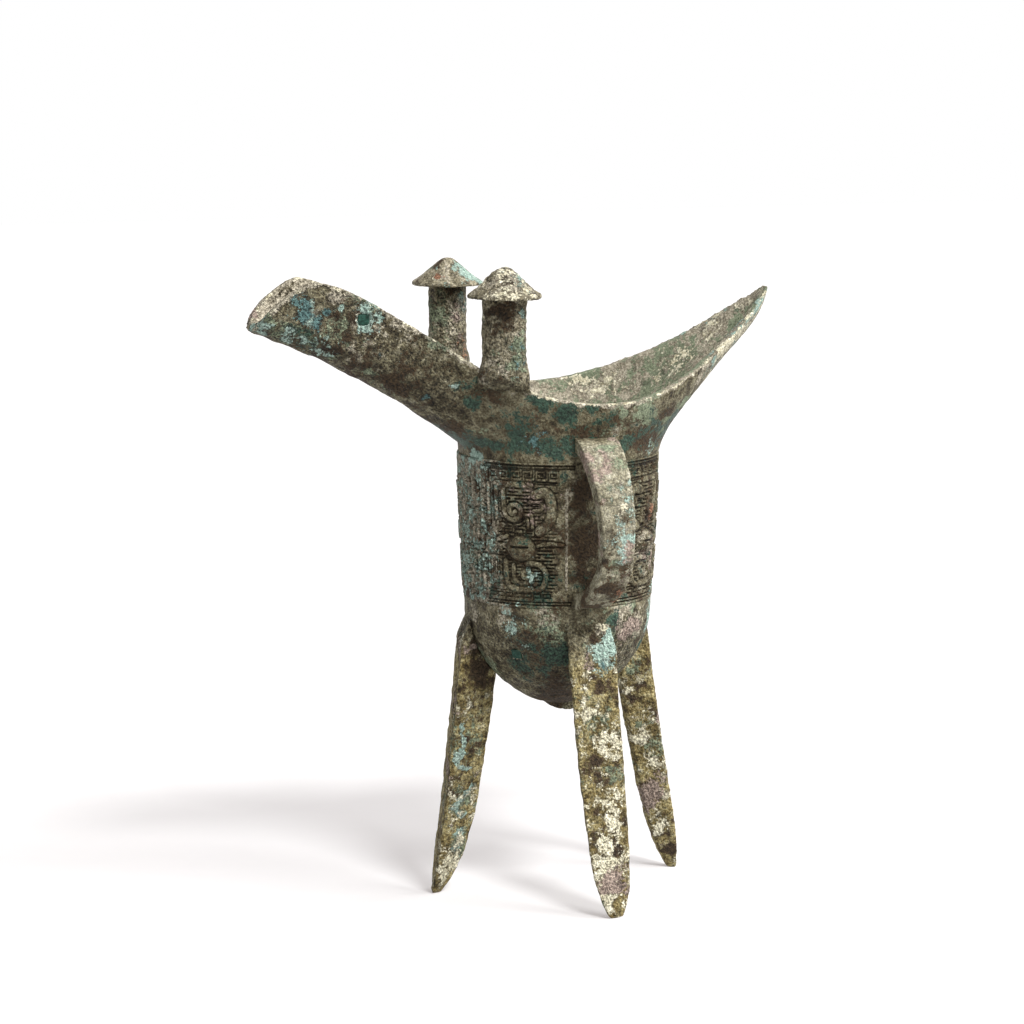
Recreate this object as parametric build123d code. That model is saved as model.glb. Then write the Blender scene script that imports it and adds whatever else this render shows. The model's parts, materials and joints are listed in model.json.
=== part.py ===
"""Bronze jue: a cast tripod wine vessel with a trough spout, a pointed tail, a strap handle and capped posts.

Millimetres, +Z up. The origin is on the ground under the axis of the cup. The spout points to -X, the tail
to +X and the handle to -Y. The vessel is one casting; legs, handle, posts and caps are seated on it as
cast-on pieces.
"""
from build123d import *
import os
from math import atan2, cos, radians, sin, sqrt, tan

# Cup: a round beaker that widens a little upwards, on a rounded bowl
bowl_clearance = 60.0           # from the ground to the underside of the bowl
bowl_depth = 30.0               # height of the rounded part
bowl_radius = 28.8              # outside, at the top of the bowl
bowl_roundness = 0.47           # handle length of the bowl's curve: 0.55 is an ellipse, less is more pointed
wall_height = 47.0              # from the bowl to the neck
neck_radius = 31.0              # outside, where the cup meets the mouth
wall = 2.8                      # thickness of the whole casting
gate_length = 20.0              # casting gate left under the bowl, a low keel along X
gate_width = 6.0
gate_drop = 2.3                 # below the bowl
gate_middle = 2.5               # of the keel, towards the tail
gate_end_rise = 6.0             # where the keel runs out into the bowl, above its underside

# Ornament band: two raised lines and four eyes
band_line_radius = 0.5
band_bottom_rise = 4.6          # lower line, above the bowl
band_top_rise = 0.9             # upper line, above the neck
eye_angle = 43.0                # from the handle's plane, in degrees
eye_rise = 22.0                 # above the bowl
eye_radius = 4.3
eye_height = 2.0                # proud of the wall

# Mouth and tail: the round neck opens into a leaf-shaped rim
mouth_rise = 20.2               # from the neck to the lowest point of the rim
mouth_flare = 4.0               # how far the rim overhangs the neck at each side
mouth_middle = 5.0              # where the mouth is widest, towards the tail
tail_length = 39.0              # beyond the neck
tail_rise = 31.0                # tip of the tail above the lowest point of the rim
tail_sweep = 1.8                # power of the rim's rise towards the tail
leaf_tip_turn = 3.2             # rounding of the leaf's two ends: turn beyond a sharp point, in degrees
front_reach = 19.0              # the leaf's front end, beyond the neck
front_sweep = 2.2               # power of the rim's rise towards the spout

# Spout: a U-shaped trough that starts in a crease under the rim and flattens towards its lip
spout_length = 65.4
spout_root_gap = 2.2            # crease, beyond the neck
spout_root_rise = 6.6           # crease, above the neck
spout_start_slope = 36.0        # of the underside, in degrees
spout_end_slope = 20.0
spout_root_half_width = 22.0    # at the rim
spout_tip_half_width = 11.2
spout_depth = 24.2              # from the rim straight down to the underside
spout_side_flare = 8.0          # of the trough's sides, in degrees
lip_slant_length = 18.2         # the lip's top corner, behind its tip
lip_corner_drop = 1.6           # of that corner below the line of the rim
lip_bulge = 2.2                 # of the lip's edge, out from a straight cut
lip_tip_height = 1.0            # of the slanted cut above the underside, at the tip

# Strap handle: a channel, open towards the cup
handle_top_rise = 10.8          # top of its upper root, above the neck
handle_bottom_rise = 5.2        # bottom of its lower root, above the bowl
handle_bottom_shift = -1.8      # of its lower root along X
handle_reach = 18.4             # from the wall to its outer face
strap_width = 13.2              # at the upper root
strap_depth = 4.8
strap_web = 2.5
strap_flange = 2.0
# Seen from the front: height share from the lower root up, then left and right edge as shares of the width
strap_edges = (
    (-0.14, -0.51, 0.17),
    (0.0, -0.51, 0.2),
    (0.1, -0.46, 0.31),
    (0.22, -0.35, 0.41),
    (0.36, -0.31, 0.46),
    (0.54, -0.34, 0.48),
    (0.76, -0.42, 0.49),
    (0.95, -0.5, 0.5),
    (1.14, -0.51, 0.5),
)
handle_root_block = 4.2         # solid length at each root
tenon_radius = 1.6              # stubs on the vessel that the handle is cast round
tenon_length = 3.0
cast_fit = 0.1                  # clearance in a cast-on socket

# Posts and caps
post_x = -27.0
post_inset = 0.6                # axis, inside the outer edge of the rim
post_top_rise = 32.0            # seat of the cap, above the lowest point of the rim
post_length_along_rim = 13.4
post_width = 10.4
post_foot_grip = 5.0            # how far the forked foot reaches down the rim
post_foot_spread = 1.6          # how much the foot is wider to each side, at its bottom
post_rim_spread = 1.3           # the same, at the rim
post_foot_height = 6.0          # flared part, above the rim
cap_radius = 11.0
near_cap_height = 9.4
far_cap_height = 8.4
cap_edge = 0.9                  # thickness of the brim
cap_flank = ((0.77, 0.31), (0.53, 0.57), (0.27, 0.86))     # points on it, as shares of radius and height
post_tenon_radius = 3.2
post_tenon_length = 3.0

# Legs: triangular blades, flat outside, with a rounded inner ridge
leg_edge = 1.4                  # thickness at the outer edges
leg_ridge = 2.6                 # width of the inner ridge
leg_root_rise = 3.6             # where the root has run out into the cup, above the bowl
leg_proud = 1.1                 # outer face, proud of the bowl near the top
leg_bow = 0.9                   # inward bow of the outer face at half height
# The three legs were bent and worn differently: foot radius is to the outer face
handle_foot_radius = 40.6
handle_leg_width = 14.8
handle_leg_depth = 10.4
spout_foot_radius = 39.8
spout_leg_width = 14.0
spout_leg_depth = 11.8
tail_foot_radius = 47.6
tail_leg_width = 13.0
tail_leg_depth = 8.6
# Angles about the cup, in degrees: at the top and at the foot
handle_leg_angles = (-91.5, -84.0)
spout_leg_angles = (167.0, 166.6)
tail_leg_angles = (20.0, 17.0)
leg_root_sink = 2.4             # how far the top of the root lies inside the cup's surface
# Height share, width share, depth share and share of the sink, from the root down to the worn point
leg_taper = (
    (1.0, 0.78, 1.1, 1.0),
    (0.94, 0.98, 1.1, 0.22),
    (0.87, 1.04, 1.08, 0.0),
    (0.75, 1.02, 1.05, 0.0),
    (0.57, 1.0, 1.0, 0.0),
    (0.31, 0.94, 0.9, 0.0),
    (0.14, 0.82, 0.72, 0.0),
    (0.05, 0.6, 0.48, 0.0),
    (0.0, 0.34, 0.28, 0.0),
)

# Core spacers: square bronze plates that held the core while the vessel was cast
spacer_size = 3.2
spout_spacer_back = 31.7        # behind the tip of the spout
spout_spacer_rise = 18.0        # above the underside
bowl_spacer_rise = 19.0         # above the underside of the bowl
bowl_spacer_angles = (-140.0, -35.0, 95.0)

bowl_top = bowl_clearance + bowl_depth
neck = bowl_top + wall_height
rim_low = neck + mouth_rise
tail_tip_z = rim_low + tail_rise
tail_tip_x = neck_radius + tail_length
spout_root_x = -(neck_radius + spout_root_gap)
spout_tip_x = spout_root_x - spout_length
spout_root_z = neck + spout_root_rise
cap_seat = rim_low + post_top_rise
open_sky = max(tail_tip_z, cap_seat) + spout_depth      # above everything that is trimmed


def clamp(share):
    return min(max(share, 0.0), 1.0)


def ease(share):
    """Smooth step from 0 to 1."""
    share = clamp(share)
    return share * share * (3 - 2 * share)


def ease_slope(share):
    share = clamp(share)
    return 6 * share * (1 - share)


def wall_radius(z):
    """Outside radius of the straight part of the cup."""
    return bowl_radius + (neck_radius - bowl_radius) * clamp((z - bowl_top) / wall_height)


def cup_solid(inset):
    """Cup and bowl as one turned form, drawn in by inset."""
    foot = (0, bowl_clearance + inset)
    shoulder = (bowl_radius - inset, bowl_top)
    under = (bowl_roundness * shoulder[0], foot[1])
    side = (shoulder[0], bowl_top - bowl_roundness * (bowl_depth - inset))
    top = (neck_radius - inset, neck)
    outline = [Bezier(foot, under, side, shoulder), Polyline(shoulder, top, (0, neck), foot)]
    return revolve(Plane.XZ * make_face(outline), axis=Axis.Z)


def mouth_size(z, inset):
    """Half width, tail reach, front reach and middle of the leaf at one height, drawn in by inset."""
    tail_share = (z - neck) / (tail_tip_z - neck)
    tail_lean = tail_length * ease_slope(tail_share) / (tail_tip_z - neck)
    flare_share = clamp((z - neck) / mouth_rise)
    flare_lean = 2 * mouth_flare * flare_share / mouth_rise
    front_share = (z - neck - spout_root_rise / 2) / (mouth_rise + spout_root_rise)
    half_width = neck_radius + mouth_flare * flare_share ** 2 - inset * sqrt(1 + flare_lean ** 2)
    tail = neck_radius + tail_length * ease(tail_share) - inset * sqrt(1 + tail_lean ** 2)
    front = neck_radius + front_reach * ease(front_share) - inset
    return half_width, tail, front, mouth_middle * ease(flare_share)


def leaf_side(half_width, reach):
    """Radius of a long side, and the point where it runs into the rounded tip, from the middle outwards."""
    turn = radians(90 + leaf_tip_turn) - 2 * atan2(half_width, reach)
    across, along = sin(turn), cos(turn)
    radius = (half_width * (1 - along) - reach * across) / (1 - across - along)
    return radius, radius * along, half_width - radius * (1 - across)


def leaf_outline(z, inset):
    """Leaf of four long arcs and two tip arcs; it is a plain circle at the neck."""
    half_width, tail, front, middle = mouth_size(z, inset)
    ends = []
    for direction, reach in ((1, tail - middle), (-1, front + middle)):
        radius, join_x, join_y = leaf_side(half_width, reach)
        half_x = join_x / 2
        half_y = half_width - radius + sqrt(radius ** 2 - half_x ** 2)
        ends.append({
            "half": (middle + direction * half_x, half_y),
            "join": (middle + direction * join_x, join_y),
            "tip": (middle + direction * reach, 0),
        })
    tail_end, front_end = ends
    far = (middle, half_width)
    near = (middle, -half_width)

    def below(point):
        return point[0], -point[1]

    outline = [
        ThreePointArc(far, tail_end["half"], tail_end["join"]),
        ThreePointArc(tail_end["join"], tail_end["tip"], below(tail_end["join"])),
        ThreePointArc(below(tail_end["join"]), below(tail_end["half"]), near),
        ThreePointArc(near, below(front_end["half"]), below(front_end["join"])),
        ThreePointArc(below(front_end["join"]), front_end["tip"], front_end["join"]),
        ThreePointArc(front_end["join"], front_end["half"], far),
    ]
    return Plane.XY.offset(z) * make_face(outline)


def mouth_solid(inset):
    """Mouth and tail, from the neck up past the tip of the tail."""
    height = tail_tip_z + 2 * wall - neck
    shares = (0.0, 0.1, 0.24, 0.38, 0.54, 0.72, 0.86, 1.0)
    return loft([leaf_outline(neck + share * height, inset) for share in shares])


def spout_run(x):
    """Distance along X from the crease towards the lip."""
    return spout_root_x - x


def spout_slope(x):
    """Rise of the underside for each millimetre towards the lip."""
    start, end = tan(radians(spout_start_slope)), tan(radians(spout_end_slope))
    return start + (end - start) * spout_run(x) / spout_length


def spout_underside(x):
    """The underside is a parabola between its two slopes."""
    start = tan(radians(spout_start_slope))
    return spout_root_z + (start + spout_slope(x)) / 2 * spout_run(x)


def spout_half_width(x):
    """Half width at the rim, narrowing towards the lip."""
    share = 1 - spout_run(x) / spout_length
    return spout_tip_half_width + (spout_root_half_width - spout_tip_half_width) * share ** 2


def spout_round(x):
    """Radius of the trough's round bottom, so that the flared sides meet the rim at the half width."""
    flare = radians(spout_side_flare)
    return (spout_half_width(x) - spout_depth * tan(flare)) / (cos(flare) - tan(flare) * (1 - sin(flare)))


def spout_side(x, height):
    """Half width of the trough's straight side at a height above the underside."""
    flare = radians(spout_side_flare)
    radius = spout_round(x)
    return radius * cos(flare) + (height - radius * (1 - sin(flare))) * tan(flare)


def spout_section(x, inset):
    """U-shaped section across the spout, drawn in by inset."""
    flare = radians(spout_side_flare)
    centre = spout_underside(x) + spout_round(x) + inset * (sqrt(1 + spout_slope(x) ** 2) - 1)
    radius = spout_round(x) - inset
    foot_y, foot_z = radius * cos(flare), centre - radius * sin(flare)
    top_y = foot_y + (open_sky - foot_z) * tan(flare)
    outline = [
        Line((-top_y, open_sky), (-foot_y, foot_z)),
        ThreePointArc((-foot_y, foot_z), (0, centre - radius), (foot_y, foot_z)),
        Polyline((foot_y, foot_z), (top_y, open_sky), (-top_y, open_sky)),
    ]
    return Plane(origin=(x, 0, 0), x_dir=(0, 1, 0), z_dir=(1, 0, 0)) * make_face(outline)


def spout_solid(inset):
    """Spout from inside the mouth to just past the lip."""
    shares = (-0.14, 0.06, 0.28, 0.52, 0.78, 1.05)
    return loft([spout_section(spout_root_x - share * spout_length, inset) for share in shares])


def spout_rim(x):
    """Height of the rim along the spout."""
    return spout_underside(x) + spout_depth


def front_rim(x):
    """Height of the rim between its lowest point and the spout."""
    share = (mouth_middle - x) / (mouth_middle - spout_root_x)
    return rim_low + (spout_rim(spout_root_x) - rim_low) * share ** front_sweep


def tail_rim(x):
    """Height of the rim between its lowest point and the tip of the tail."""
    share = (x - mouth_middle) / (tail_tip_x - mouth_middle)
    return rim_low + tail_rise * share ** tail_sweep


def above_rim():
    """Everything above the rim, seen from the side, which trims the mouth, tail and spout."""
    tail_span = tail_tip_x - mouth_middle
    front_span = mouth_middle - spout_root_x
    tail_stations = [mouth_middle + share * tail_span for share in (1.15, 0.9, 0.65, 0.4, 0.18)]
    front_stations = [mouth_middle - share * front_span for share in (0.3, 0.6, 0.85)]
    spout_stations = [spout_root_x - share * spout_length for share in (0.08, 0.25, 0.42, 0.6)]
    corner_x = spout_tip_x + lip_slant_length
    corner = (corner_x, spout_rim(corner_x) - lip_corner_drop)
    points = [(x, tail_rim(x)) for x in tail_stations]
    points += [(mouth_middle, rim_low)]
    points += [(x, front_rim(x)) for x in front_stations]
    points += [(x, spout_rim(x)) for x in spout_stations]
    points += [corner]
    tip = (spout_tip_x, spout_underside(spout_tip_x) + lip_tip_height)
    slant = Vector(corner[0] - tip[0], corner[1] - tip[1])
    bulge = Vector(*tip) + slant / 2 + Vector(-slant.Y, slant.X) * (lip_bulge / slant.length)
    lip = ThreePointArc(corner, bulge, tip)
    sky = open_sky + spout_depth
    outside = tip[0] - lip_slant_length
    start = points[0]
    around = Polyline(tip, (outside, tip[1] - lip_slant_length), (outside, sky), (start[0], sky), start)
    outline = [Spline(*points), lip, around]
    half_span = neck_radius + spout_length
    return extrude(Plane.XZ * make_face(outline), amount=half_span, both=True)


def eye_boss(angle):
    """Round eye of the mask, a low dome on the wall."""
    z = bowl_top + eye_rise
    return Rot(0, 0, angle) * Pos(wall_radius(z) + eye_height - eye_radius, 0, z) * Sphere(eye_radius)


def gate_keel():
    """Crescent left where the metal was poured in, cut down and filed."""
    end_z = bowl_clearance + gate_end_rise
    left = (gate_middle - gate_length / 2, end_z)
    right = (gate_middle + gate_length / 2, end_z)
    bottom = (gate_middle, bowl_clearance - gate_drop)
    outline = [ThreePointArc(left, bottom, right), Line(right, left)]
    return extrude(Plane.XZ * make_face(outline), amount=gate_width / 2, both=True)


handle_top = neck + handle_top_rise
handle_bottom = bowl_top + handle_bottom_rise
tenon_places = ((handle_bottom_shift, handle_bottom + strap_depth / 2), (0, handle_top - strap_depth))


def tenon(place, radius, length):
    """Stub along -Y at a place (x, z), from inside the wall to length past it."""
    x, z = place
    start = wall_radius(z) - wall / 2
    end = wall_radius(z) + length
    stub = Cylinder(radius, end - start, align=(Align.CENTER, Align.CENTER, Align.MIN))
    return Plane(origin=(x, -start, z), x_dir=(1, 0, 0), z_dir=(0, -1, 0)) * stub


def vessel_outside():
    """The vessel as a solid form, before it is hollowed."""
    form = cup_solid(0) + mouth_solid(0) + spout_solid(0) - above_rim()
    for z in (bowl_top + band_bottom_rise, neck + band_top_rise):
        form += Pos(0, 0, z) * Torus(wall_radius(z), band_line_radius)
    for side in (-90, 90):
        for turn in (-eye_angle, eye_angle):
            form += eye_boss(side + turn)
    return form + gate_keel()


def vessel_hollow():
    """Core of the casting: the same forms, drawn in by the wall."""
    return cup_solid(wall) + mouth_solid(wall) + spout_solid(wall)


def spacer_block(origin, outward):
    """Square bar through the wall at a point on its outside."""
    block = Box(spacer_size, spacer_size, 4 * wall)
    return Plane(origin=origin, z_dir=outward) * block


def spacer_blocks():
    """Two spacers in the sides of the spout and the rest round the bowl."""
    x = spout_tip_x + spout_spacer_back
    y = spout_side(x, spout_spacer_rise)
    z = spout_underside(x) + spout_spacer_rise
    blocks = [spacer_block((x, side * y, z), (0, side, 0)) for side in (-1, 1)]
    share = 1 - bowl_spacer_rise / bowl_depth
    radius = bowl_radius * sqrt(1 - share ** 2)
    for angle in bowl_spacer_angles:
        across, along = cos(radians(angle)), sin(radians(angle))
        point = (radius * across, radius * along, bowl_clearance + bowl_spacer_rise)
        blocks.append(spacer_block(point, (across, along, -share)))
    return blocks


def shifted(points, distance):
    """Points of a curve moved sideways, to its right hand, by distance."""
    moved = []
    last = len(points) - 1
    for index, (x, y) in enumerate(points):
        x0, y0 = points[max(index - 1, 0)]
        x1, y1 = points[min(index + 1, last)]
        length = sqrt((x1 - x0) ** 2 + (y1 - y0) ** 2)
        moved.append((x + (y1 - y0) / length * distance, y - (x1 - x0) / length * distance))
    return moved


def strap_band(outer_shift, inner_shift, edge_inset):
    """Slab between two lines that run along the handle's outer face, cut to the strap's edges."""
    root = wall_radius(handle_bottom) - wall
    base = wall_radius((handle_top + handle_bottom) / 2)
    height = handle_top - handle_bottom
    # Reach share and height share of the outer face, from the lower root up to the upper one
    face = [(root, handle_bottom)]
    for reach, rise in ((0.42, 0.03), (0.84, 0.17), (1.0, 0.43), (0.85, 0.7), (0.46, 0.91)):
        face.append((base + reach * handle_reach, handle_bottom + rise * height))
    face.append((root, handle_top))
    outer = shifted(face, -outer_shift)
    inner = shifted(face, -inner_shift)
    side_plane = Plane(origin=(0, 0, 0), x_dir=(0, -1, 0), z_dir=(-1, 0, 0))
    outline = [Spline(*outer), Line(outer[-1], inner[-1]), Spline(*inner), Line(inner[0], outer[0])]
    slab = extrude(side_plane * make_face(outline), amount=strap_width, both=True)
    left, right = [], []
    for rise, left_share, right_share in strap_edges:
        z = handle_bottom + rise * height
        left.append((left_share * strap_width + edge_inset, z))
        right.append((right_share * strap_width - edge_inset, z))
    front = [Spline(*left), Line(left[-1], right[-1]), Spline(*reversed(right)), Line(right[0], left[0])]
    return slab & extrude(Plane.XZ * make_face(front), amount=base + 2 * handle_reach)


def handle_solid(vessel_form):
    """Channel-shaped strap, solid at its roots, with sockets for the vessel's stubs."""
    strap = strap_band(0, strap_depth, 0)
    channel_start = wall_radius(handle_top) + handle_root_block
    clear = Box(2 * strap_width, 3 * handle_reach, 2 * (handle_top - handle_bottom))
    middle = (handle_top + handle_bottom) / 2
    channel_zone = Pos(0, -channel_start - 1.5 * handle_reach, middle) * clear
    channel = strap_band(strap_web, 2 * strap_depth, strap_flange) & channel_zone
    handle = strap - channel - vessel_form
    for place in tenon_places:
        handle -= tenon(place, tenon_radius + cast_fit, tenon_length + cast_fit)
    return handle


def post_place(side):
    """Position and turn of a post on the rim at one side of the mouth."""
    half_width, _, front, middle = mouth_size(front_rim(post_x), 0)
    radius, _, _ = leaf_side(half_width, front + middle)
    run = middle - post_x
    drop = sqrt(radius ** 2 - run ** 2)
    y = half_width - radius + drop - post_inset
    return Pos(post_x, side * y, 0) * Rot(0, 0, side * (90 - Vector(run, drop).get_angle(Vector(1, 0))))


def post_solid():
    """Oval post whose forked foot straddles the rim, with a round tenon for the cap."""
    rim = front_rim(post_x)
    half_length, half_width = post_length_along_rim / 2, post_width / 2
    stations = (
        (rim - post_foot_grip, post_foot_spread),
        (rim, post_rim_spread),
        (rim + post_foot_height, 0),
        (cap_seat, 0),
    )
    sections = []
    for z, spread in stations:
        sections.append(Plane.XY.offset(z) * Ellipse(half_length + spread, half_width + spread))
    stub = Cylinder(post_tenon_radius, post_tenon_length, align=(Align.CENTER, Align.CENTER, Align.MIN))
    return loft(sections, ruled=True) + Pos(0, 0, cap_seat) * stub


def cap_solid(cap_height):
    """Pointed cap with a thin brim, a worn round peak and a socket for the post."""
    edge = (cap_radius, cap_edge)
    peak = (0, cap_height)
    points = [(across * cap_radius, up * cap_height) for across, up in cap_flank]
    flank = Spline(edge, *points, peak, tangents=((-cap_radius, cap_height), (-1, 0)))
    base = Polyline(peak, (0, 0), (cap_radius, 0), edge)
    turned = revolve(Plane.XZ * make_face([flank, base]), axis=Axis.Z)
    depth = post_tenon_length + cast_fit
    socket = Cylinder(post_tenon_radius + cast_fit, depth, align=(Align.CENTER, Align.CENTER, Align.MIN))
    return Pos(0, 0, cap_seat) * (turned - socket)


def leg_solid(angles, foot_radius, leg_width, leg_depth):
    """Blade from its root, which runs out into the cup, down to its worn foot, cut to seat on the bowl."""
    top = bowl_top + leg_root_rise
    top_angle, foot_angle = angles
    sections = []
    for height, width_share, depth_share, sink_share in leg_taper:
        angle = foot_angle + (top_angle - foot_angle) * height
        radius = foot_radius + (bowl_radius + leg_proud - foot_radius) * height
        radius -= 4 * leg_bow * height * (1 - height) + leg_root_sink * sink_share
        half_width = leg_width / 2 * width_share
        depth = leg_depth * depth_share
        ridge = leg_ridge / 2 * width_share
        edge = leg_edge * depth_share
        outline = Polyline(
            (0, half_width), (-edge, half_width), (-depth, ridge),
            (-depth, -ridge), (-edge, -half_width), (0, -half_width), close=True)
        place = Pos(0, 0, height * top) * Rot(0, 0, angle) * Pos(radius, 0, 0)
        sections.append(place * make_face(outline))
    return loft(sections) - cup_solid(0)


vessel_form = vessel_outside()
vessel_shell = vessel_form - vessel_hollow()
blocks = spacer_blocks()
vessel = vessel_shell
for block in blocks:
    vessel -= block
for place in tenon_places:
    vessel += tenon(place, tenon_radius, tenon_length)

nodes = {
    "vessel_body": vessel,
    "core_spacers": Compound([solid for block in blocks for solid in (vessel_shell & block).solids()]),
    "handle": handle_solid(vessel_form),
    "handle_leg": leg_solid(handle_leg_angles, handle_foot_radius, handle_leg_width, handle_leg_depth),
    "spout_leg": leg_solid(spout_leg_angles, spout_foot_radius, spout_leg_width, spout_leg_depth),
    "tail_leg": leg_solid(tail_leg_angles, tail_foot_radius, tail_leg_width, tail_leg_depth),
}
for name, side, cap_height in (("near", -1, near_cap_height), ("far", 1, far_cap_height)):
    nodes["post_" + name] = post_place(side) * post_solid() - vessel
    nodes["post_cap_" + name] = post_place(side) * cap_solid(cap_height)

os.makedirs("parts", exist_ok=True)
for name, shape in nodes.items():
    export_step(shape, "parts/" + name + ".step")
    box = shape.bounding_box()
    print(name, len(shape.solids()), "solids,", round(shape.volume), "mm3,", box.min, box.max)
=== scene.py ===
# %% [markdown]
# # A bronze jue, cast in piece moulds and long buried
# The vessel is a deep cup on three blade legs, with a trough spout, a pointed tail, a strap handle and
# two capped posts. Its metal can't be seen any more: the eye sees mineral skins that grew in the ground,
# over a surface that is pitted and grainy. So each piece starts from its exact solid, is cut into a fine
# even mesh, and is then roughened, painted with patches and given one layered material.

# %% Load the solids
import json
import math

import bpy
import numpy as np
from mathutils import Matrix, Vector
from mathutils.bvhtree import BVHTree

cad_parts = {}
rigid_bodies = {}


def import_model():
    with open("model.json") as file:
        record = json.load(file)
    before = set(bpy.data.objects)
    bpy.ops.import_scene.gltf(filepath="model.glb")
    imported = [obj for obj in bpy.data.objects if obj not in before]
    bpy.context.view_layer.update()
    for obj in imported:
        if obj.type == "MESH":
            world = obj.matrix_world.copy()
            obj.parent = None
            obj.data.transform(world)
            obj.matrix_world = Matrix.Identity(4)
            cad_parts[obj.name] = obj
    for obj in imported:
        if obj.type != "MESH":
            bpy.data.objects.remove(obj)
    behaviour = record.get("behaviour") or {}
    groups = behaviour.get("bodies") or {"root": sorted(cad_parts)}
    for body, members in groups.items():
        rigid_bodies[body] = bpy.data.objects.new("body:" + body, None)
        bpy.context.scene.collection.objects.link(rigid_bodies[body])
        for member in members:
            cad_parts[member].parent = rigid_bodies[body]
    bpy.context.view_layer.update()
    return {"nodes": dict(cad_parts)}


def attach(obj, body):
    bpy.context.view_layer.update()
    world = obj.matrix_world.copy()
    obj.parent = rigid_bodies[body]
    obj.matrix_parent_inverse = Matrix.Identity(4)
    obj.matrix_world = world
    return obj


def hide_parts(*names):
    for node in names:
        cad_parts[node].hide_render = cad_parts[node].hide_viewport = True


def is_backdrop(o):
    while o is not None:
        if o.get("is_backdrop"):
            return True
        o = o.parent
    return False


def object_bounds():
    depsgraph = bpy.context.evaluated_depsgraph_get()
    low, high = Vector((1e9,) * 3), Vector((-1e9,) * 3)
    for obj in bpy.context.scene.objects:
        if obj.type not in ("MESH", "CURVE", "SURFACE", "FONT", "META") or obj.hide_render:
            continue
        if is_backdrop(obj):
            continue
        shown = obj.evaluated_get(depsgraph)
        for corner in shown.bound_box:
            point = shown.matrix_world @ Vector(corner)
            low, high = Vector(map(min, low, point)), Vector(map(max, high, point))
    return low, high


for leftover in list(bpy.data.objects):
    bpy.data.objects.remove(leftover)
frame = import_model()
scene = bpy.context.scene
MM = 0.001

# %% [markdown]
# ## The camera
# The photograph looks taken with a long lens from about a metre, a little above the rim and turned
# towards the spout. A camera can be aimed with a tracking constraint, but setting its three axes directly
# keeps the angle, the distance and the aim as separate numbers that can be matched one at a time.

# %% Camera
azimuth, elevation = math.radians(-20.5), math.radians(8.6)
camera_distance = 1.1
aim_across, aim_height = -14.1 * MM, 119.8 * MM


def direction(turn, rise):
    """Unit vector from the vessel, turned from the front and raised, in radians."""
    flat = math.cos(rise)
    return Vector((math.sin(turn) * flat, -math.cos(turn) * flat, math.sin(rise)))


back = direction(azimuth, elevation)
right = Vector((math.cos(azimuth), math.sin(azimuth), 0))
axes = Matrix((right, back.cross(right), back)).transposed().to_4x4()
camera_data = bpy.data.cameras.new("camera")
camera_data.sensor_width = 36
camera_data.lens = 124.8
camera = bpy.data.objects.new("camera", camera_data)
scene.collection.objects.link(camera)
aim = right * aim_across + Vector((0, 0, aim_height))
camera.matrix_world = Matrix.Translation(aim + back * camera_distance) @ axes
scene.camera = camera
print("camera at", [round(v, 3) for v in camera.location])

# %% [markdown]
# ## A random field for corrosion
# Corrosion is rough at every size, from blisters down to grains. Blender has textures for that, but the
# same field also decides where the colours lie, so it is worked out here on the points themselves. Random
# values sit on a lattice, and each point blends its eight nearest ones.

# %% Lattice noise
def lattice_noise(points, cell, seed):
    """Smooth random values from -1 to 1, with bumps about one cell wide (mm)."""
    # The lattice is turned, so that its rows don't run along the piece
    turn = np.array(((0.36, 0.48, -0.8), (-0.8, 0.6, 0.0), (0.48, 0.64, 0.6)))
    place = points @ turn.T / cell + 31.7 * seed
    corner = np.floor(place).astype(np.int64)
    share = place - corner
    share = share * share * (3 - 2 * share)
    total = np.zeros(len(points))
    for step in np.ndindex(2, 2, 2):
        x, y, z = (corner + step).T
        # Large odd numbers scramble a corner's place into a value that looks random but never changes
        key = x * 73856093 ^ y * 19349663 ^ z * 83492791
        key = (key ^ key >> 13) * 1274126177 & 0x7FFFFFFF
        value = (key >> 8 & 0xFFFF) / 32767.5 - 1
        total += value * abs(1 - np.array(step) - share).prod(axis=1)
    return total


def smooth(low, high, value):
    """0 at low, 1 at high, with a soft run between; low may be the larger."""
    share = np.clip((value - low) / (high - low), 0, 1)
    return share * share * (3 - 2 * share)


print("lattice noise, ten samples:", lattice_noise(np.arange(30.0).reshape(10, 3), 4, 1).round(2))

# %% [markdown]
# ## From a solid to an even mesh
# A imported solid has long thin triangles, which can't be roughened. A voxel remesh gives even quads, but
# it ripples smooth walls. So every new point is laid back on the nearest point of the solid, and the
# solid's own normal there is kept: it says which way is out, and whether a point is inside or outside the
# vessel.

# %% Even copies of the solids
def even_copy(node, voxel):
    """Points (mm), outward normals and faces of a CAD node, remeshed at a voxel size in mm."""
    source = frame["nodes"][node]
    scratch = bpy.data.objects.new("scratch", source.data.copy())
    scene.collection.objects.link(scratch)
    remesh = scratch.modifiers.new("even", "REMESH")
    remesh.mode = "VOXEL"
    remesh.voxel_size = voxel * MM
    graph = bpy.context.evaluated_depsgraph_get()
    mesh = scratch.evaluated_get(graph).to_mesh()
    faces = [tuple(p.vertices) for p in mesh.polygons]
    surface = BVHTree.FromObject(source, graph)
    found = [surface.find_nearest(v.co) for v in mesh.vertices]
    bpy.data.objects.remove(scratch)
    return np.array([f[0] for f in found]) / MM, np.array([f[1] for f in found]), faces


def soften(values, faces, rounds):
    """Each point's values averaged with its neighbours', so that edges get a worn round."""
    quads = np.array([f for f in faces if len(f) == 4])
    ones, others = quads.ravel(), np.roll(quads, -1, axis=1).ravel()
    starts, ends = np.concatenate([ones, others]), np.concatenate([others, ones])
    count = np.maximum(np.bincount(starts, minlength=len(values)), 1)
    for _ in range(rounds):
        columns = [np.bincount(starts, column[ends], len(values)) / count for column in values.T]
        values = 0.5 * values + 0.5 * np.stack(columns, axis=1)
    return values


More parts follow.
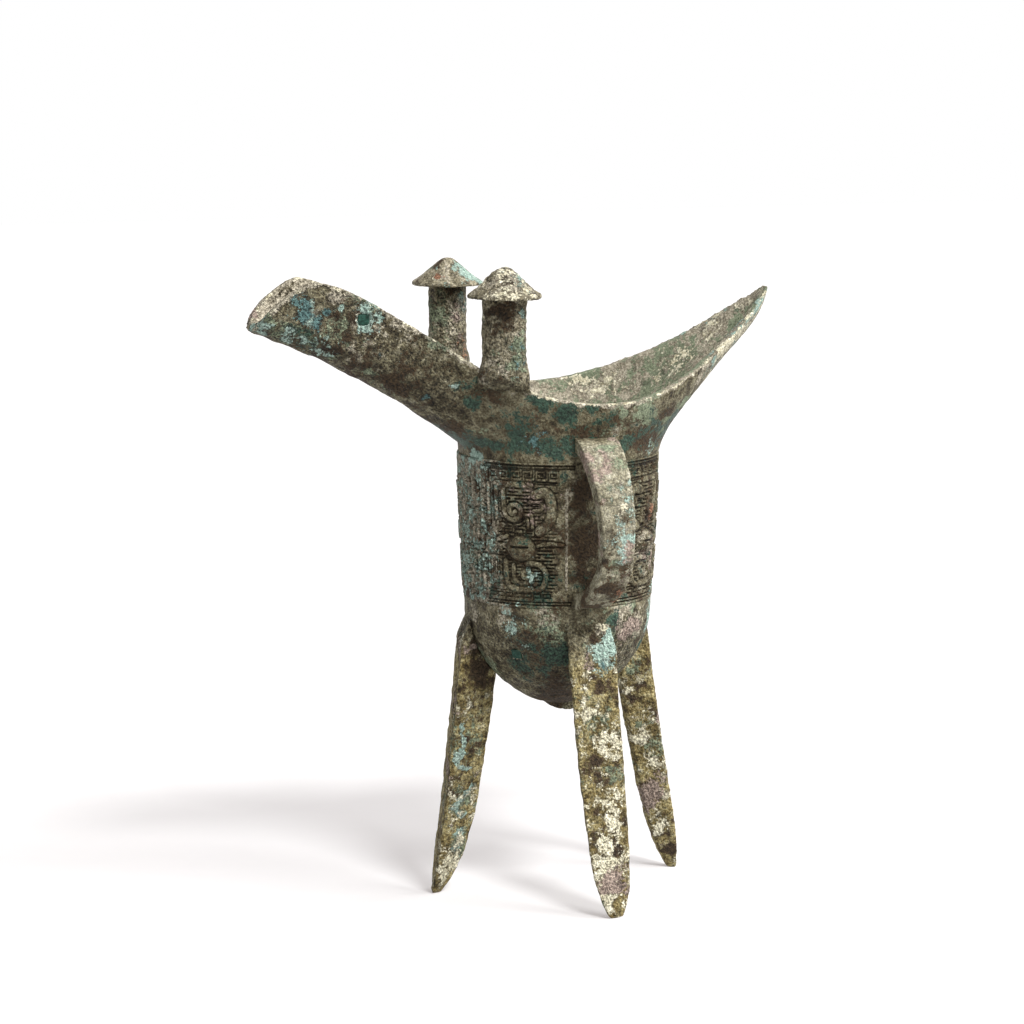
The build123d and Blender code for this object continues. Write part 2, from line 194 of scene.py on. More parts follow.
def edge_standout(points, normals, faces):
    """How far each point stands out on a sharp outer edge, from 0 to 1."""
    proud = np.einsum("ij,ij->i", points - soften(points, faces, 3), normals)
    return np.clip(6 * soften(proud[:, None], faces, 2)[:, 0], 0, 1)


print("nodes to copy:", len(frame["nodes"]))

# %% Laying pieces down on the vessel
# How far under the vessel's surface a cast-on piece ends, in mm
SUNK = 0.3
vessel_surface = BVHTree.FromObject(frame["nodes"]["vessel_body"], bpy.context.evaluated_depsgraph_get())


def above_vessel(points):
    """How far each point stands off the vessel (mm), below 0 inside; the nearest place; its normal."""
    found = [vessel_surface.find_nearest(p) for p in points * MM]
    feet = np.array([f[0] for f in found]) / MM
    normals = np.array([f[1] for f in found])
    far = np.linalg.norm(points - feet, axis=1)
    # Beside a sharp rim only one of two normals is found, so inside means straight against the normal
    within = np.einsum("ij,ij->i", points - feet, normals) < -0.9 * far
    return np.where(within, -far, far), feet, normals


def settle(points, hold):
    """Lower a cast-on piece to the vessel: hold 1 keeps a point, 0 lays it just under the surface."""
    off, feet, normals = above_vessel(points)
    drop = np.where(off > -SUNK, 1 - hold, 0)[:, None]
    return points + drop * (feet - SUNK * normals - points)


print("vessel faces to lay pieces on:", len(frame["nodes"]["vessel_body"].data.polygons))

# %% [markdown]
# ## Where each mineral lies
# Patches of verdigris, azurite, earth and cuprite are painted as weights on the points, as with a soft
# round brush. A touch of the brush is a place and a reach, in millimetres. The points are pushed about by
# the random field first, so no patch comes out round. A patch covers; a wash has about half the weight,
# and the material breaks it up into clumps. Behind both, the field scatters more of each layer, so that
# the unseen sides are as rich as the front.

# %% Patches
LAYERS = ("sand", "green", "brown", "teal", "mint", "blue", "cream", "lilac", "rust")
PATCH_WEIGHT, WASH_WEIGHT = 1.1, 0.58
# How the field pushes the points about: the size of its bumps and how far, in mm
PUSHES = ((8, 3.4), (3, 1.6))


def paint(points, patches, washes, scatter, seed, cloud_size=14):
    """Weight of each layer at each point, from 0 to 1."""
    pushed = points.copy()
    for size, amount in PUSHES:
        for axis in range(3):
            pushed[:, axis] += amount * lattice_noise(points, size, seed + size + axis)
    weights = {}
    for number, layer in enumerate(LAYERS):
        cloud = 0.6 * lattice_noise(points, cloud_size, seed + 3 * number)
        cloud += 0.4 * lattice_noise(points, cloud_size / 3, seed + 3 * number + 1)
        weight = cloud + scatter.get(layer, -2)
        for strength, touches in ((PATCH_WEIGHT, patches), (WASH_WEIGHT, washes)):
            for x, y, z, reach in touches.get(layer, []):
                distance = np.linalg.norm(pushed - np.array((x, y, z)), axis=1)
                weight = np.maximum(weight, strength * (1 - 0.68 * distance / reach))
        weights[layer] = np.clip(weight, 0, 1)
    return weights


def lay(weights, layer, amount):
    """Raise a layer's weight to an amount wherever it is lower."""
    weights[layer] = np.maximum(weights[layer], amount)


print("layers, lowest first:", LAYERS)

# %% [markdown]
# ## Roughening a piece
# Blisters, grains and pits move the points along the normals. They could be left to a displacement map, but
# the points are fine enough to carry them. Each piece has its own recipe of sizes and heights: the spout
# and the posts are sandy, the near cap is lumpy, the neck nearly smooth. The depth of each point is kept as
# an attribute called relief, because dirt stays in hollows and high places are rubbed pale. Another,
# coarse, tells the material how sandy the skin is, and so how strongly the grains get painted light on
# top and painted shade between; joined says how far a cast-on piece shares the vessel's own colour.

# %% Make a piece
def make_piece(name, points, normals, faces, weights, recipe, skin, relief=None, flat_from=None):
    """Mesh object in metres, roughened, with its layers, relief and coarseness as point attributes."""
    seed, (size, blister_height) = recipe["seed"], recipe["blister"]
    (grain_size, grain_height), (pit_size, pit_depth) = recipe["grain"], recipe["pit"]
    blister = lattice_noise(points, size, seed) + 0.5 * lattice_noise(points, size / 2.3, seed + 1)
    grain = lattice_noise(points, grain_size, seed + 2)
    pit = smooth(0.4, 0.9, lattice_noise(points, pit_size, seed + 3) + 0.4 * grain)
    crust = smooth(0.4, 0.7, np.maximum(weights["mint"], weights["cream"]))
    if "coarse" not in weights:
        weights["coarse"] = np.full(len(points), recipe["coarse"])
    weights.setdefault("joined", np.zeros(len(points)))
    height = blister_height * blister + grain_height * grain - pit_depth * pit
    height = height * (0.4 + 0.6 * weights["coarse"]) + 0.1 * crust
    depth = 0.35 * grain + 0.2 * blister - 0.6 * pit
    if relief is not None:
        depth = 0.4 * depth + relief
    mesh = bpy.data.meshes.new(name)
    mesh.from_pydata(((points + normals * height[:, None]) * MM).tolist(), [], faces)
    rounded = np.ones(len(faces), bool)
    if flat_from is not None:
        rounded[flat_from:] = False
    mesh.polygons.foreach_set("use_smooth", rounded)
    for layer, weight in list(weights.items()) + [("relief", depth)]:
        attribute = mesh.attributes.new(layer, "FLOAT", "POINT")
        attribute.data.foreach_set("value", weight.astype(np.float32))
    mesh.validate()
    mesh.materials.append(skin)
    piece = bpy.data.objects.new(name, mesh)
    scene.collection.objects.link(piece)
    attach(piece, "root")
    lowest, highest = height.min().round(2), height.max().round(2)
    print(name, len(mesh.vertices), "points, moved by", lowest, "to", highest, "mm")
    return piece


print("attributes of every piece:", LAYERS + ("coarse", "joined", "relief"))

# %% [markdown]
# ## The bronze's mineral skin
# Leaded tin bronze, cast and then corroded in wet soil. The skin is mineral, not metal, so metallic is
# zero and the surface is dull, with a faint gloss on the smooth green skin of the neck. It could be drawn
# as one picture per piece, but layers that read the painted weights stay sharp at any distance. Every
# noise scale comes from a size in millimetres.

# %% Colours and nodes
def linear(code):
    """Linear RGBA of an sRGB hex colour."""
    parts = [int(code[i:i + 2], 16) / 255 for i in (1, 3, 5)]
    return [p / 12.92 if p <= 0.04045 else ((p + 0.055) / 1.055) ** 2.4 for p in parts] + [1.0]


def per_mm(size):
    """Texture scale for features of a size in mm."""
    return 1 / (size * MM)


def add(tree, kind, inputs=None, stops=None, output=0, **settings):
    """Add a node, set its properties, fill or link its inputs, and give one of its outputs."""
    made = tree.nodes.new("ShaderNode" + kind)
    for key, value in settings.items():
        setattr(made, key, value)
    for key, value in (inputs or {}).items():
        if isinstance(value, bpy.types.NodeSocket):
            tree.links.new(value, made.inputs[key])
        else:
            made.inputs[key].default_value = value
    for number, (place, code) in enumerate(stops or []):
        elements = made.color_ramp.elements
        stop = elements[number] if number < len(elements) else elements.new(place)
        stop.position = place
        stop.color = linear(code)
    return made.outputs[output] if made.outputs else None


def weighted_sum(tree, start, parts):
    """A start value plus each field times its share."""
    total = start
    for field, share in parts:
        total = add(tree, "Math", {0: field, 1: share, 2: total}, operation="MULTIPLY_ADD")
    return total


# A Mix node's sockets and settings for colours
FACTOR, COLOUR_A, COLOUR_B = 0, 6, 7
COLOURS = {"output": 2, "data_type": "RGBA"}
# Dark and pale tone of each layer, its roughness, and how dark its edge is
LAYER_LOOKS = {
    "sand": ("#776d58", "#d3cab6", 0.9, 0.0),
    "green": ("#434e38", "#b0b99b", 0.75, 0.2),
    "brown": ("#170f07", "#5c4b36", 0.7, 0.0),
    "teal": ("#132019", "#46604f", 0.5, 0.0),
    "mint": ("#6f8e80", "#cfe2d6", 0.85, 0.4),
    "blue": ("#143538", "#7b9c98", 0.75, 0.3),
    "cream": ("#bdb18a", "#f3eed9", 0.95, 0.45),
    "lilac": ("#5c4d42", "#c4b0a2", 0.8, 0.2),
    "rust": ("#54382a", "#a87e62", 0.8, 0.2),
}
VESSEL_GROUND = ("#221b10", "#544c38", "#827b62", "#bcb59c")
TONE_STOPS = (0.14, 0.38, 0.6, 0.9)
print(len(LAYER_LOOKS), "layers over a ground of", len(TONE_STOPS), "tones")

# %% One layer over another
# Clumps and grit of the patina, in mm. Real grit is finer, and is drawn this coarse so that it shows
CLUMP_SIZE, GRIT_SIZE = 3.4, 0.75
# A layer lies where its weight, with these shares of clump and grit added, passes its limits
CLUMP_SHARE, GRIT_SHARE = 0.75, 0.35
EDGE_LIMITS = {"From Min": 0.82, "From Max": 1.0}
COVER_LIMITS = {"From Min": 0.97, "From Max": 1.17}
EDGE_DIRT, HOLLOW_DIRT = "#1a130a", "#120d08"


def noise_fields(tree, size, detail):
    """Three fields from the channels of one noise, so that neighbouring layers don't share their edges."""
    where = add(tree, "TexCoord", output="Object")
    noise = {"Vector": where, "Scale": per_mm(size), "Detail": detail, "Roughness": 0.66}
    cloud = add(tree, "TexNoise", noise, output="Color")
    fields = []
    for channel in ("Red", "Green", "Blue"):
        part = add(tree, "SeparateColor", {"Color": cloud}, output=channel)
        fields.append(add(tree, "MapRange", {"Value": part, "From Min": 0.3, "From Max": 0.7}))
    return fields


def lay_over(tree, number, clumps, grits, colour, roughness):
    """Put a numbered layer over the colour and the roughness so far, and give both."""
    layer = LAYERS[number]
    dark, pale, dullness, rim = LAYER_LOOKS[layer]
    own, other = number % 3, number % 3 - 1
    weight = add(tree, "Attribute", output="Fac", attribute_name=layer)
    cover = weighted_sum(tree, weight, ((clumps[own], CLUMP_SHARE), (grits[own], GRIT_SHARE)))
    edge = add(tree, "MapRange", EDGE_LIMITS | {"Value": cover, "To Max": rim})
    mask = add(tree, "MapRange", COVER_LIMITS | {"Value": cover}, interpolation_type="SMOOTHSTEP")
    # Where nothing was painted, high clumps alone bring no layer
    present = add(tree, "MapRange", {"Value": weight, "From Max": 0.15})
    edge = add(tree, "Math", {0: edge, 1: present}, operation="MULTIPLY")
    mask = add(tree, "Math", {0: mask, 1: present}, operation="MULTIPLY")
    mix = {FACTOR: edge, COLOUR_A: colour, COLOUR_B: linear(EDGE_DIRT)}
    colour = add(tree, "Mix", mix, **COLOURS)
    speck = weighted_sum(tree, 0.0, ((clumps[other], 0.45), (grits[other], 0.55)))
    tones = {FACTOR: speck, COLOUR_A: linear(dark), COLOUR_B: linear(pale)}
    skin = add(tree, "Mix", tones, **COLOURS)
    mix = {FACTOR: mask, COLOUR_A: colour, COLOUR_B: skin}
    colour = add(tree, "Mix", mix, **COLOURS)
    return colour, add(tree, "Mix", {0: mask, 2: roughness, 3: dullness})


print("clumps of", CLUMP_SIZE, "mm and grit of", GRIT_SIZE, "mm break up every layer")


# %% The layered material
def mineral_skin(name, ground, bump):
    """Buried bronze: a grainy ground of four tones under the painted layers."""
    material = bpy.data.materials.new(name)
    material.use_nodes = True
    tree = material.node_tree
    tree.nodes.clear()
    clumps = noise_fields(tree, CLUMP_SIZE, 6)
    grits = noise_fields(tree, GRIT_SIZE, 2)
    own_fields = ("relief", "coarse", "joined")
    relief, coarse, joined = [add(tree, "Attribute", output="Fac", attribute_name=f) for f in own_fields]
    # The ground's tone follows clumps, grit and relief together
    tone = weighted_sum(tree, 0.05, ((relief, 0.26), (clumps[0], 0.55), (grits[0], 0.35)))
    own = add(tree, "ValToRGB", {"Fac": tone}, list(zip(TONE_STOPS, ground)))
    shared = add(tree, "ValToRGB", {"Fac": tone}, list(zip(TONE_STOPS, VESSEL_GROUND)))
    mix = {FACTOR: joined, COLOUR_A: own, COLOUR_B: shared}
    colour = add(tree, "Mix", mix, **COLOURS)
    roughness = add(tree, "MapRange", {"Value": clumps[1], "To Min": 0.5, "To Max": 0.8})
    for number in range(len(LAYERS)):
        colour, roughness = lay_over(tree, number, clumps, grits, colour, roughness)
    # Grains keep their own random tone, and over it painted light and shade: the colour is made paler
    # where the bump field stands high and darker between. Dark soil stays in the hollows
    grain_tone_and_light_range = {"Value": grits[2], "From Min": 0.1, "From Max": 0.9, "To Min": 0.2, "To Max": 1.8}
    grain_tone_and_light = add(tree, "MapRange", grain_tone_and_light_range)
    mix = {FACTOR: coarse, COLOUR_A: colour, COLOUR_B: grain_tone_and_light}
    colour = add(tree, "Mix", mix, **COLOURS, blend_type="MULTIPLY")
    sunk = {"Value": relief, "From Min": -0.2, "From Max": -0.9, "To Max": 0.75}
    hollow = add(tree, "MapRange", sunk)
    mix = {FACTOR: hollow, COLOUR_A: colour, COLOUR_B: linear(HOLLOW_DIRT)}
    colour = add(tree, "Mix", mix, **COLOURS)
    swell = weighted_sum(tree, grits[2], ((clumps[0], 0.8),))
    normal = add(tree, "Bump", {"Height": swell, "Strength": coarse, "Distance": bump * MM})
    # A porous crust sends back little gloss
    skin = {"Base Color": colour, "Roughness": roughness, "Normal": normal, "Specular IOR Level": 0.25}
    add(tree, "OutputMaterial", {"Surface": add(tree, "BsdfPrincipled", skin)})
    return material


# Cup: dull brown and olive, grainy but close, so that the eye reads stone more than metal
vessel_skin = mineral_skin("cast_bronze_dark_olive_patina", VESSEL_GROUND, 0.7)
# Posts: the same metal eaten to a sandpaper skin, paler where the grains stand up, partly rubbed and
# partly painted light on the grains' tops, with painted shade between them
post_ground = ("#302a1d", "#756d57", "#a89f86", "#dcd3bc")
post_skin = mineral_skin("cast_bronze_sandy_patina", post_ground, 0.9)
# Handle: rubbed by hands, so the pinkish tan ground shows and the grain is low
handle_ground = ("#443d30", "#817b65", "#a8a28b", "#d2ccb9")
handle_skin = mineral_skin("cast_bronze_rubbed_tan_patina", handle_ground, 0.5)
# Legs: clay and lime stuck on olive corrosion, mottled from near black to cream
leg_ground = ("#33280f", "#7f6f45", "#b4a676", "#e8dfba")
leg_skin = mineral_skin("cast_bronze_earthy_olive_patina", leg_ground, 0.8)
# Spacers: small plates of another melt, which went an even dark green
spacer_ground = ("#10281f", "#1c3c31", "#294c40", "#3d6053")
spacer_skin = mineral_skin("bronze_plate_dark_green_patina", spacer_ground, 0.1)
print("materials:", [m.name for m in bpy.data.materials])

# %% [markdown]
# ## The mask band, drawn in the flat
# The cup carries a band cast from carved moulds: a mask with bulging eyes, curled horns and clawed jaws
# on a ground of fine lines, between rows of square spirals. The four quarters mirror each other, so one
# quarter is drawn in the flat, in millimetres along the wall from the spout's axis towards the handle,
# and up. Each stroke is a distance to a line: near it the surface sinks to a groove, or stands up as a
# plain ribbon.

# %% Drawing tools for the band
BAND_LOW, BAND_HIGH, STEP = 93.0, 140.0, 0.1
BAND_RADIUS = 30.0
# A quarter of the way round at that radius, and a little to spare
QUARTER = 47.6
flat_along, flat_height = np.arange(0, QUARTER, STEP), np.arange(BAND_LOW, BAND_HIGH, STEP)
along, height = np.meshgrid(flat_along, flat_height, indexing="ij")


def distance_to(path, reach):
    """Distance from every point of the flat drawing to a line of points, up to a reach."""
    near = np.full(along.shape, reach)
    for (a0, z0), (a1, z1) in zip(path[:-1], path[1:]):
        i0 = max(int((min(a0, a1) - reach) / STEP), 0)
        i1 = max(int((max(a0, a1) + reach) / STEP) + 2, 0)
        j0 = max(int((min(z0, z1) - reach - BAND_LOW) / STEP), 0)
        j1 = max(int((max(z0, z1) + reach - BAND_LOW) / STEP) + 2, 0)
        window = np.s_[i0:i1, j0:j1]
        a, z = along[window], height[window]
        run, rise = a1 - a0, z1 - z0
        share = ((a - a0) * run + (z - z0) * rise) / max(run * run + rise * rise, 1e-9)
        share = np.clip(share, 0, 1)
        found = np.hypot(a - a0 - share * run, z - z0 - share * rise)
        near[window] = np.minimum(near[window], found)
    return near


def square_spiral(a, z, width, tall, turns, gap):
    """Corner points of a square spiral that winds inwards from its lower left corner."""
    west, east, low, high = a - width / 2, a + width / 2, z - tall / 2, z + tall / 2
    path = [(west, low)]
    for _ in range(turns):
        path += [(west, high), (east, high), (east, low + gap), (west + gap, low + gap)]
        west, east, low, high = west + gap, east - gap, low + gap, high - gap
    return path


def volute(a, z, outer, inner, start, turns):
    """Points of a round spiral that winds inwards from a start angle in degrees, anticlockwise."""
    shares = np.linspace(0, 1, 48)
    angles = np.radians(start + 360 * turns * shares)
    radii = outer + (inner - outer) * shares
    return list(zip(a + radii * np.cos(angles), z + radii * np.sin(angles)))


def curl(points, rounds=3):
    """Smooth line through the neighbourhood of a few points, by cutting corners."""
    for _ in range(rounds):
        finer = [points[0]]
        for (a0, z0), (a1, z1) in zip(points[:-1], points[1:]):
            finer.append((0.75 * a0 + 0.25 * a1, 0.75 * z0 + 0.25 * z1))
            finer.append((0.25 * a0 + 0.75 * a1, 0.25 * z0 + 0.75 * z1))
        points = finer + [points[-1]]
    return points


print("flat drawing of one quarter:", along.shape, "points", STEP, "mm apart")

# %% Ground of fine lines and rows of square spirals
lines = []
for row, z in enumerate(np.arange(99.6, 131.0, 1.05)):
    for part in range(5):
        start = 18.4 + 3.5 * part + 1.2 * math.sin(2.1 * row + part)
        lines.append([(start, z), (start + 2.7, z)])
lines += [square_spiral(a, 135.2, 3.2, 3.0, 2, 0.8) for a in np.arange(15.2, 36.5, 3.9)]
lines += [square_spiral(a, 97.9, 2.4, 1.8, 1, 0.7) for a in np.arange(14.0, 35.0, 3.1)]
for number, a in enumerate((12.4, 14.2, 15.1, 17.2)):
    lines.append([(a, 118.8 + number), (a, 132.4)])
for number, a in enumerate((12.3, 13.4, 14.4, 15.1, 16.0, 16.9, 17.9)):
    lines.append([(a, 102.0 + 0.4 * number), (a, 109.4 - 0.3 * (number % 3))])
lines += [[(12.0, z), (41.0, z)] for z in (138.2, 137.3, 96.3, 95.4)]
lines += [[(28.4, z), (36.0, z - 0.3)] for z in (133.4, 132.7)]
for number, a in enumerate((20.4, 24.0, 27.6)):
    lines.append(square_spiral(a, 118.0 - 0.5 * number, 2.6, 2.4, 1, 0.8))
lines.append([(13.0, 110.3), (18.4, 110.3)])
lines += [volute(22.4, 124.4, outer, outer, 196, 0.36) for outer in (4.2, 5.2)]
groove = np.zeros(along.shape)
for path in lines:
    groove = np.maximum(groove, smooth(0.38, 0.16, distance_to(path, 0.6)))
print(len(lines), "grooves in one quarter")

# %% The mask's ribbons
ribbons = [
    ([(16.2, 132.3), (27.8, 132.2)], 0.8),
    ([(18.9, 131.0), (19.0, 127.0)] + volute(22.4, 124.3, 3.2, 0.7, 175, 1.45), 0.7),
    (curl([(29.4, 129.4), (32.8, 130.6), (34.4, 126.6), (33.8, 120.8), (30.6, 118.2)]), 1.45),
    (curl([(27.4, 127.0), (31.2, 127.5), (31.6, 124.6), (28.6, 124.5)]), 0.42),
    ([(25.9, 123.2), (28.1, 123.1), (28.3, 119.4)], 0.42),
    ([(26.9, 121.8), (27.0, 119.4)], 0.4),
    ([(13.3, 132.2), (13.3, 119.6)], 0.45),
    ([(16.2, 131.2), (16.2, 121.6)], 0.45),
    (volute(14.7, 112.7, 1.9, 0.5, 60, 1.3), 0.5),
    (curl([(15.6, 114.4), (17.4, 115.6), (20.0, 116.2)]), 0.6),
    (curl([(19.3, 108.6), (19.3, 103.2), (20.4, 100.6), (24.4, 100.0), (28.0, 100.2)]), 0.75),
    (curl([(22.0, 107.6), (21.9, 103.8), (23.2, 102.2), (25.6, 102.2)]), 0.55),
    (volute(26.2, 104.4, 2.2, 0.6, 260, 1.2), 0.55),
    (curl([(26.4, 108.3), (30.6, 108.2), (32.8, 105.2), (31.6, 100.8), (29.4, 100.0)]), 0.75),
    ([(14.4, 100.6), (18.6, 100.4)], 0.6),
    (curl([(29.6, 113.6), (33.2, 114.6), (37.6, 114.0)]), 0.5),
]
# The mask's nose, under the spout: uprights broken into short hooked lengths
for number, a in enumerate((1.9, 4.1, 6.3, 8.5, 10.6)):
    hook = 1.1 * (-1) ** number
    for part in range(5):
        low = 98.6 + 6.8 * part + 1.3 * math.sin(5.1 * number + 2.3 * part)
        ribbons.append(([(a, low), (a, low + 4.9), (a + hook, low + 4.9)], 0.55))
ribbon = np.zeros(along.shape)
outline = np.zeros(along.shape)
for path, half_width in ribbons:
    away = distance_to(path, half_width + 1.2)
    ribbon = np.maximum(ribbon, smooth(half_width + 0.1, half_width - 0.22, away))
    outline = np.maximum(outline, smooth(0.34, 0.12, abs(away - half_width - 0.28)))
cleared = smooth(0.05, 0.3, ribbon)
print(len(ribbons), "ribbons in one quarter")

# %% Eyes, plain field, whole relief
plain = smooth(35.2, 37.0, along) * smooth(136.8, 136.4, height) * smooth(97.0, 97.6, height)
eye = np.hypot((along - 24.5) / 4.4, (height - 112.7) / 3.7)
eye_bulge = 1.9 * np.clip(1 - eye ** 2, 0, 1) ** 0.75
eye_ring = smooth(0.14, 0.04, abs(eye - 1.1))
slit = smooth(0.55, 0.2, distance_to([(22.0, 113.3), (26.9, 113.3)], 0.9))
carving = 0.12 - 0.8 * groove * (1 - plain)
carving = carving * (1 - cleared) + 0.36 * ribbon * cleared
carving = np.minimum(carving, 0.42 - 0.95 * outline * (1 - 0.6 * cleared))
carving += 0.3 * ribbon * smooth(13.5, 11.0, along)
inside_eye = smooth(1.25, 1.12, eye)
carving = carving * (1 - inside_eye) - inside_eye * (0.8 * slit + 0.5 * eye_ring)
carving += 0.45 * smooth(0.9, 0.2, along) * smooth(98, 100, height) * smooth(131, 129, height)
print("carving from", carving.min().round(2), "to", carving.max().round(2), "mm")
print("eyes stand out by", eye_bulge.max().round(2), "mm")

# %% [markdown]
# ## The mask band, wrapped on the cup
# The drawing is laid round the cup in two halves that meet under the spout and the tail. It could be a
# bump in the material, but the carving shows at the cup's outline too, so it is geometry. Each half is a
# closed shell: a fine outer grid, and a plain back sunk in the wall. Wear and crust blur the drawing in
# places, and its upper and lower edges dive under the cup's own surface.

# %% Places on the wall
UP = np.array((0.0, 0.0, 1.0))
BAND_FOOT, BAND_TOP = 93.6, 139.6
BOWL_TOP, NECK = 90.0, 137.0
BOWL_RADIUS, NECK_RADIUS = 28.8, 31.0
SEAM_DEGREES, MM_PER_DEGREE = 254.0, 0.52


def wall_radius(z):
    """Outside radius of the cup, as in the solids."""
    return BOWL_RADIUS + (NECK_RADIUS - BOWL_RADIUS) * np.clip((z - BOWL_TOP) / (NECK - BOWL_TOP), 0, 1)


def seam_ridge(theta, z):
    """1 along the thin upright line beside the handle, as the joint of two mould pieces leaves it."""
    off_seam = abs(np.degrees(theta) % 360 - SEAM_DEGREES) * MM_PER_DEGREE
    return smooth(0.6, 0.15, off_seam) * smooth(99, 101, z) * smooth(133, 131, z)


def flat_place(theta, z):
    """Indices in the flat drawing of places on the wall; the four quarters mirror each other."""
    folded = np.degrees(theta) % 180
    run = np.radians(np.minimum(folded, 180 - folded)) * BAND_RADIUS
    i = np.clip((run / STEP).astype(int), 0, along.shape[0] - 1)
    j = np.clip(((z - BAND_LOW) / STEP).astype(int), 0, along.shape[1] - 1)
    return i, j


print("wall radius at the band's edges:", wall_radius(np.array((BAND_FOOT, BAND_TOP))).round(2), "mm")


# %% Wrap the band
def shell_faces(columns, rows):
    """Faces of a closed shell: its outer grid first, then its long edges and back, then its two ends."""
    grid = np.arange(columns * rows).reshape(columns, rows)
    corners = [grid[:-1, :-1], grid[1:, :-1], grid[1:, 1:], grid[:-1, 1:]]
    faces = np.stack(corners, axis=-1).reshape(-1, 4).tolist()
    low_back = (columns * rows + np.arange(columns)).tolist()
    high_back = (columns * rows + columns + np.arange(columns)).tolist()
    low_front, high_front = grid[:, 0].tolist(), grid[:, -1].tolist()
    for c in range(columns - 1):
        faces.append([low_front[c + 1], low_front[c], low_back[c], low_back[c + 1]])
        faces.append([high_front[c], high_front[c + 1], high_back[c + 1], high_back[c]])
        faces.append([low_back[c + 1], low_back[c], high_back[c], high_back[c + 1]])
    faces.append(grid[0].tolist() + [high_back[0], low_back[0]])
    faces.append(grid[-1][::-1].tolist() + [low_back[-1], high_back[-1]])
    return faces


def band_half(start_degrees, columns=428, rows=208, back_depth=1.9):
    """Points, normals, faces and relief of half the band, and how many faces belong to its outer grid."""
    turn = np.radians(start_degrees + np.linspace(0, 180, columns))
    level = np.linspace(BAND_FOOT, BAND_TOP, rows)
    theta, z = np.meshgrid(turn, level, indexing="ij")
    i, j = flat_place(theta, z)
    outward = np.stack([np.cos(theta), np.sin(theta), np.zeros_like(theta)], axis=-1)
    wall = (outward * wall_radius(z)[..., None] + UP * z[..., None]).reshape(-1, 3)
    wear = lattice_noise(wall, 9, 61) + 0.4 * lattice_noise(wall, 3.5, 62)
    relief = carving[i, j] * (0.6 + 0.4 * smooth(-0.9, 0.3, wear).reshape(columns, rows))
    relief += 0.6 * seam_ridge(theta, z)
    dive = smooth(BAND_FOOT + 1.2, BAND_FOOT, z) + smooth(BAND_TOP - 0.8, BAND_TOP, z)
    rise = relief + eye_bulge[i, j] + 0.12 - 1.3 * dive
    rays = outward.reshape(-1, 3)
    backs = []
    for edge in (level[0], level[-1]):
        backs.append(outward[:, 0] * (wall_radius(edge) - back_depth) + UP * edge)
    points = np.concatenate([wall + rays * rise.reshape(-1, 1)] + backs)
    normals = np.concatenate([rays, np.zeros((2 * columns, 3))])
    depth = np.concatenate([1.1 * np.clip(relief, -0.7, 0.2).ravel(), np.zeros(2 * columns)])
    return points, normals, shell_faces(columns, rows), depth, (columns - 1) * (rows - 1)


halves = {"mask_band_near": band_half(180), "mask_band_far": band_half(0)}
print("points in half the band:", len(halves["mask_band_near"][0]))

# %% [markdown]
# ## The cup, spout and tail
# One cast shell. Outside, brown and olive grains with teal at the neck and crusts of verdigris; inside,
# pale sandy earth that the burial left. The colours could be painted by hand in Blender's paint mode, but
# touches written as places can be moved one by one. A point is inside when its normal looks up or towards
# the cup's axis. Under the band the wall is drawn in a little, so that the band's own surface shows.

# %% Patches on the vessel: x, y, z and reach
vessel_patches = {
    "sand": [
        (-75, -13, 190, 4), (-8, -33, 158, 3), (6, -34, 157, 4), (40, -20, 164, 6), (50, -14, 171, 7),
        (60, -8, 179, 6), (67, -2, 186, 5), (-28, -3, 92, 4), (12, -26, 91, 5), (17, -22, 84, 4),
        (-30, -4, 128, 4), (-30, -5, 103, 4), (-24, -15, 92, 4), (-13, -24, 91, 3),
    ],
    "green": [
        (-84, -7, 177, 3), (-76, -7, 172, 3), (-64, -8, 165, 3), (5, -34, 153, 5), (18, -32, 155, 6),
        (25, -24, 147, 7), (33, -20, 153, 6), (39, 16, 163, 5), (46, 12, 167, 4), (27, -11, 88, 4),
        (-18, -19, 88, 4),
    ],
    "brown": [
        (-78, -9, 175, 4), (-67, -10, 169, 5), (-57, -10, 162, 6), (-48, -9, 154, 5), (-31, -23, 160, 4),
        # From (0, -31, 118) on, these touches are painted shade on the wall behind the handle
        (-3, -8, 62, 9), (5, -14, 66, 7), (-6, -15, 69, 7), (-14, -20, 84, 4), (0, -31, 118, 8),
        (-2, -31, 104, 6), (-4, -31, 129, 7), (-5, -30, 112, 6), (3, -31, 108, 6),
    ],
    "teal": [
        (-69, -11, 175, 2), (-35, -19, 155, 4), (-17, -30, 158, 4), (-10, -32, 156, 5), (-2, -34, 155, 4),
        (-22, -22, 147, 5), (-10, -28, 144, 5), (30, -20, 149, 4), (-18, -15, 74, 6), (-8, -24, 81, 6),
        (-2, -26, 84, 5),
    ],
    "mint": [
        (-98, -2, 184, 4), (-95, -5, 180, 3), (-84, -10, 185, 4), (-75, -12, 185, 2), (-65, -13, 183, 4),
        (-86, -7, 178, 2), (-79, -7, 174, 2), (-39, -19, 163, 2), (-30, -6, 140, 3), (46, -17, 168, 3),
        (64, -6, 183, 2), (-22, -18, 93, 2), (-20, -20, 87, 2), (24, -16, 88, 3), (27, -12, 97, 2),
    ],
    "blue": [(-87, -10, 186, 4), (-80, -10, 184, 3), (-47, -12, 159, 2)],
    "cream": [(-45, -18, 175, 1), (57, -10, 178, 2), (69, -1, 187, 3), (-95, 5, 185, 2)],
    "lilac": [(-95, 8, 187, 4), (14, -24, 87, 4)],
    "rust": [(-83, -10, 187, 1), (-21, -27, 154, 1), (24, -18, 121, 2), (23, -19, 116, 1)],
}
